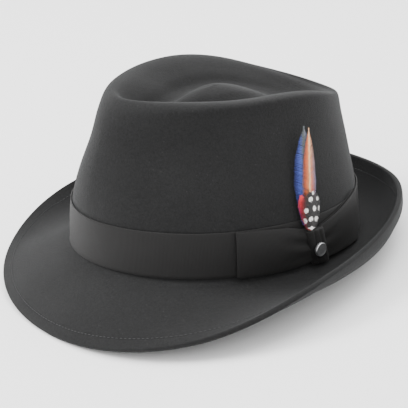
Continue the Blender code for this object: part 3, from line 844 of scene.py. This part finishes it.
def surface_place(tree):
    """The piece's own UV map."""
    node = tree.nodes.new("ShaderNodeUVMap")
    node.uv_map = "surface"
    return node.outputs["UV"]


def place_group(tree, group, vector, **values):
    """A shader group in a material, fed by a vector."""
    node = tree.nodes.new("ShaderNodeGroup")
    node.node_tree = group
    tree.links.new(vector, node.inputs["Vector"])
    for key, value in values.items():
        node.inputs[key.replace("_", " ").title()].default_value = value
    return node


def mix_colors(tree, factor, first, second):
    """Mix of two colours or colour sockets."""
    node = tree.nodes.new("ShaderNodeMix")
    node.data_type = "RGBA"
    for socket, value in ((node.inputs["Factor"], factor), (node.inputs[6], first), (node.inputs[7], second)):
        if isinstance(value, bpy.types.NodeSocket):
            tree.links.new(value, socket)
        elif isinstance(value, tuple):
            socket.default_value = (*value, 1.0)
        else:
            socket.default_value = value
    return node.outputs[2]


def add_bump(tree, shader, height, distance, strength=1.0):
    """Bump from a height socket into the shader's normal."""
    node = tree.nodes.new("ShaderNodeBump")
    node.inputs["Distance"].default_value = distance
    node.inputs["Strength"].default_value = strength
    tree.links.new(height, node.inputs["Height"])
    tree.links.new(node.outputs["Normal"], shader.inputs["Normal"])


def felt_material(nap, lint):
    """Black wool felt with a cool cast, a short nap that catches the light, and a few specks of lint."""
    material, tree, shader = start_material("black_felt", 0.92)
    place = object_place(tree)
    fibres = place_group(tree, nap, place)
    specks = place_group(tree, lint, place)
    grain = math_node(tree, "MULTIPLY_ADD", fibres.outputs["Tone"], 3.2, True)
    grain.node.inputs[2].default_value = -1.1
    color = mix_colors(tree, grain, (0.0014, 0.0014, 0.0015), (0.0105, 0.0106, 0.0108))
    color = mix_colors(tree, math_node(tree, "MULTIPLY", specks.outputs["Mask"], 0.10), color, (0.10, 0.10, 0.10))
    tree.links.new(color, shader.inputs["Base Color"])
    add_bump(tree, shader, fibres.outputs["Height"], 0.0006, 0.9)
    shader.inputs["Sheen Weight"].default_value = 0.08
    shader.inputs["Sheen Roughness"].default_value = 0.45
    shader.inputs["Sheen Tint"].default_value = (0.60, 0.61, 0.62, 1.0)
    shader.inputs["Specular IOR Level"].default_value = 0.25
    return material


def ribbon_material(ribs, lint):
    """Black grosgrain ribbon, ribbed across, a little glossier than the felt."""
    material, tree, shader = start_material("black_grosgrain", 0.62)
    weave = place_group(tree, ribs, surface_place(tree))
    specks = place_group(tree, lint, object_place(tree), scale=300.0, size=0.09)
    color = mix_colors(tree, weave.outputs["Height"], (0.0010, 0.0009, 0.0009), (0.0052, 0.0047, 0.0045))
    color = mix_colors(tree, math_node(tree, "MULTIPLY", specks.outputs["Mask"], 0.08), color, (0.10, 0.10, 0.10))
    tree.links.new(color, shader.inputs["Base Color"])
    add_bump(tree, shader, weave.outputs["Height"], 0.00018, 0.8)
    shader.inputs["Specular IOR Level"].default_value = 0.22
    shader.inputs["Sheen Weight"].default_value = 0.04
    return material


def thread_material():
    """Black sewing thread with a slight twist."""
    material, tree, shader = start_material("black_thread", 0.6)
    twist = noise_node(tree, object_place(tree), 3500.0, 1.0, 0.5)
    color = mix_colors(tree, twist, (0.010, 0.010, 0.011), (0.034, 0.034, 0.036))
    tree.links.new(color, shader.inputs["Base Color"])
    add_bump(tree, shader, twist, 0.00008)
    return material


def pin_material():
    """Satin grey metal with faint wear and fine scratches."""
    material, tree, shader = start_material("satin_metal", 0.38, 1.0)
    place = object_place(tree)
    scratches = noise_node(tree, place, 2200.0, 3.0, 0.7)
    stain = noise_node(tree, place, 420.0, 2.0, 0.5)
    color = mix_colors(tree, stain, (0.40, 0.41, 0.42), (0.66, 0.66, 0.67))
    tree.links.new(color, shader.inputs["Base Color"])
    rough = math_node(tree, "MULTIPLY_ADD", scratches, 0.25)
    rough.node.inputs[2].default_value = 0.28
    tree.links.new(rough, shader.inputs["Roughness"])
    add_bump(tree, shader, scratches, 0.00003)
    return material


def color_ramp(tree, factor, stops):
    """Colour ramp with (position, colour) stops."""
    node = tree.nodes.new("ShaderNodeValToRGB")
    ramp = node.color_ramp
    for k, (position, color) in enumerate(stops):
        stop = ramp.elements[k] if k < 2 else ramp.elements.new(position)
        stop.position = position
        stop.color = (*color, 1.0)
    tree.links.new(factor, node.inputs["Fac"])
    return node.outputs["Color"]


def feather_tree(name, roughness=0.55):
    """Material of a feather, with its place up the quill and across the vane."""
    material, tree, shader = start_material(name, roughness)
    parts = tree.nodes.new("ShaderNodeSeparateXYZ")
    tree.links.new(surface_place(tree), parts.inputs[0])
    shader.inputs["Specular IOR Level"].default_value = 0.35
    shader.inputs["Sheen Weight"].default_value = 0.15
    return material, tree, shader, parts.outputs["X"], parts.outputs["Y"]


def streaks(tree, up, across, lengthwise, crosswise, strength):
    """Uneven streaks along the barbs: noise of the place, stretched across the vane."""
    join = tree.nodes.new("ShaderNodeCombineXYZ")
    tree.links.new(math_node(tree, "MULTIPLY", up, lengthwise), join.inputs[0])
    tree.links.new(math_node(tree, "MULTIPLY", across, crosswise), join.inputs[1])
    noise = noise_node(tree, join.outputs[0], 1.0, 3.0, 0.6)
    return math_node(tree, "MULTIPLY", math_node(tree, "SUBTRACT", noise, 0.5), strength)


def blue_material():
    """Deep blue vane, paler and greyer on its back half and greenish next to the orange one."""
    material, tree, shader, up, across = feather_tree("blue_vane")
    at = math_node(tree, "ADD", across, streaks(tree, up, across, 60.0, 3.0, 0.25))
    color = color_ramp(tree, at, [
        (0.00, (0.020, 0.030, 0.200)), (0.30, (0.045, 0.075, 0.330)), (0.45, (0.060, 0.070, 0.060)),
        (0.62, (0.100, 0.110, 0.170)), (0.80, (0.160, 0.185, 0.330)), (1.00, (0.060, 0.080, 0.220))])
    tree.links.new(color, shader.inputs["Base Color"])
    return material


def orange_material():
    """Orange and red vane with a brown front edge, a pale quill and red streaks low on the back half."""
    material, tree, shader, up, across = feather_tree("orange_vane")
    at = math_node(tree, "ADD", across, streaks(tree, up, across, 70.0, 2.5, 0.22))
    upper = color_ramp(tree, at, [
        (0.00, (0.180, 0.130, 0.080)), (0.18, (0.520, 0.075, 0.020)), (0.42, (0.620, 0.150, 0.040)),
        (0.50, (0.760, 0.500, 0.280)), (0.62, (0.480, 0.200, 0.090)), (0.85, (0.330, 0.200, 0.170)),
        (1.00, (0.200, 0.180, 0.260))])
    lower = color_ramp(tree, at, [
        (0.00, (0.150, 0.110, 0.050)), (0.22, (0.400, 0.060, 0.015)), (0.46, (0.420, 0.180, 0.060)),
        (0.52, (0.680, 0.460, 0.270)), (0.66, (0.460, 0.060, 0.020)), (0.90, (0.200, 0.090, 0.120)),
        (1.00, (0.110, 0.120, 0.260))])
    height = math_node(tree, "SUBTRACT", math_node(tree, "MULTIPLY", up, 2.2), 0.7, True)
    color = mix_colors(tree, height, lower, upper)
    tree.links.new(color, shader.inputs["Base Color"])
    return material


def red_material():
    """Bright crimson down."""
    material, tree, shader, up, across = feather_tree("red_down")
    color = color_ramp(tree, math_node(tree, "ADD", up, streaks(tree, up, across, 30.0, 4.0, 0.4)), [
        (0.00, (0.160, 0.004, 0.010)), (0.60, (0.480, 0.008, 0.020)), (1.00, (0.640, 0.030, 0.035))])
    tree.links.new(color, shader.inputs["Base Color"])
    return material


# White spots of the guinea-fowl vane: place up the quill, place across, half size up and across, as shares
# of the vane
Spot = namedtuple("Spot", "up across high wide")
SPOTS = (
    Spot(0.97, 0.60, 0.060, 0.060),
    Spot(0.80, 0.47, 0.060, 0.105), Spot(0.80, 0.84, 0.055, 0.070),
    Spot(0.53, 0.24, 0.065, 0.100), Spot(0.56, 0.66, 0.065, 0.085), Spot(0.55, 0.92, 0.060, 0.055),
    Spot(0.27, 0.16, 0.065, 0.110), Spot(0.30, 0.47, 0.060, 0.110), Spot(0.29, 0.76, 0.060, 0.100),
    Spot(0.06, 0.48, 0.035, 0.260),
)


def spotted_material():
    """Black vane with round white spots, each the inside of an ellipse with a soft rim."""
    material, tree, shader, up, across = feather_tree("spotted_vane")
    shift = streaks(tree, up, across, 40.0, 5.0, 0.10)
    total = None
    for spot in SPOTS:
        raised = math_node(tree, "ADD", up, shift)
        rise = math_node(tree, "DIVIDE", math_node(tree, "SUBTRACT", raised, spot.up), spot.high)
        side = math_node(tree, "DIVIDE", math_node(tree, "SUBTRACT", across, spot.across), spot.wide)
        square = math_node(tree, "ADD", math_node(tree, "POWER", math_node(tree, "ABSOLUTE", rise), 2.0),
                           math_node(tree, "POWER", math_node(tree, "ABSOLUTE", side), 2.0))
        inside = math_node(tree, "MULTIPLY", math_node(tree, "SUBTRACT", 1.25, square), 3.0, True)
        total = inside if total is None else math_node(tree, "MAXIMUM", total, inside)
    color = mix_colors(tree, total, (0.012, 0.010, 0.010), (0.80, 0.78, 0.76))
    tree.links.new(color, shader.inputs["Base Color"])
    return material


def build_stage():
    """Plain pale floor and soft studio light."""
    mesh = bpy.data.meshes.new("floor")
    size = 6.0
    mesh.from_pydata([(-size, -size, 0), (size, -size, 0), (size, size, 0), (-size, size, 0)], [], [(0, 1, 2, 3)])
    floor = bpy.data.objects.new("floor", mesh)
    bpy.context.scene.collection.objects.link(floor)
    material, tree, shader = start_material("floor_paper", 0.9)
    shader.inputs["Base Color"].default_value = (0.86, 0.86, 0.86, 1.0)
    mesh.materials.append(material)
    world = bpy.data.worlds.new("studio")
    bpy.context.scene.world = world
    world.use_nodes = True
    world.node_tree.nodes["Background"].inputs["Color"].default_value = (1.0, 1.0, 1.0, 1.0)
    world.node_tree.nodes["Background"].inputs["Strength"].default_value = 2.0
    lights = (
        ("key", (-0.9, -1.1, 1.5), 0.9, 55.0),
        ("fill", (1.3, -0.9, 0.9), 1.2, 6.0),
        ("top", (0.1, 0.5, 1.7), 1.2, 26.0),
    )
    for name, place, width, power in lights:
        light = bpy.data.lights.new(name, "AREA")
        light.size = width
        light.energy = power
        lamp = bpy.data.objects.new(name, light)
        lamp.location = place
        lamp.rotation_euler = (Vector((0, 0, 0.06)) - Vector(place)).to_track_quat("-Z", "Y").to_euler()
        bpy.context.scene.collection.objects.link(lamp)


def build_camera():
    """Camera at the photo's angle to the hat: out along the view direction from a point over the middle of the
    opening, moved a little across the view, with a lens that gives the photo's scale."""
    a, e = VIEW_AZIMUTH, VIEW_ELEVATION
    back = np.array([math.sin(a) * math.cos(e), -math.cos(a) * math.cos(e), math.sin(e)])
    right = np.array([math.cos(a), math.sin(a), 0.0])
    up = np.cross(back, right)
    place = np.array([0, 0, VIEW_TARGET_HEIGHT]) + back * VIEW_DISTANCE + right * VIEW_RIGHT + up * VIEW_UP
    axes = np.stack([right, up, back]) @ HAT_AXES
    data = bpy.data.cameras.new("camera")
    data.sensor_width = SENSOR
    data.lens = SENSOR * PIXELS_PER_METRE * VIEW_DISTANCE / FRAME_PIXELS
    camera = bpy.data.objects.new("camera", data)
    camera.matrix_world = Matrix.Translation(placed(place)) @ Matrix(axes.T).to_4x4()
    bpy.context.scene.collection.objects.link(camera)
    bpy.context.scene.camera = camera


def main():
    build_camera()
    build_stage()
    nap, lint, ribs = felt_nap_group(), lint_group(), ribs_group()
    felt = felt_material(nap, lint)
    ribbon = ribbon_material(ribs, lint)
    build_felt(felt)
    build_welt_stitches(thread_material())
    build_band(ribbon)
    build_loop("bow_front_ribbon", "bow_front_loop", FRONT_LOOP, FRONT_LOOP_LENGTH, -1, ribbon)
    build_loop("bow_rear_ribbon", "bow_rear_loop", REAR_LOOP, REAR_LOOP_LENGTH, 1, ribbon)
    build_knot(ribbon)
    build_pin(pin_material())
    makers = {
        "feather_blue": blue_material,
        "feather_orange": orange_material,
        "feather_red_tuft": red_material,
        "feather_spotted": spotted_material,
    }
    for seed, (name, maker) in enumerate(makers.items()):
        build_feather(name, maker(), seed)


main()
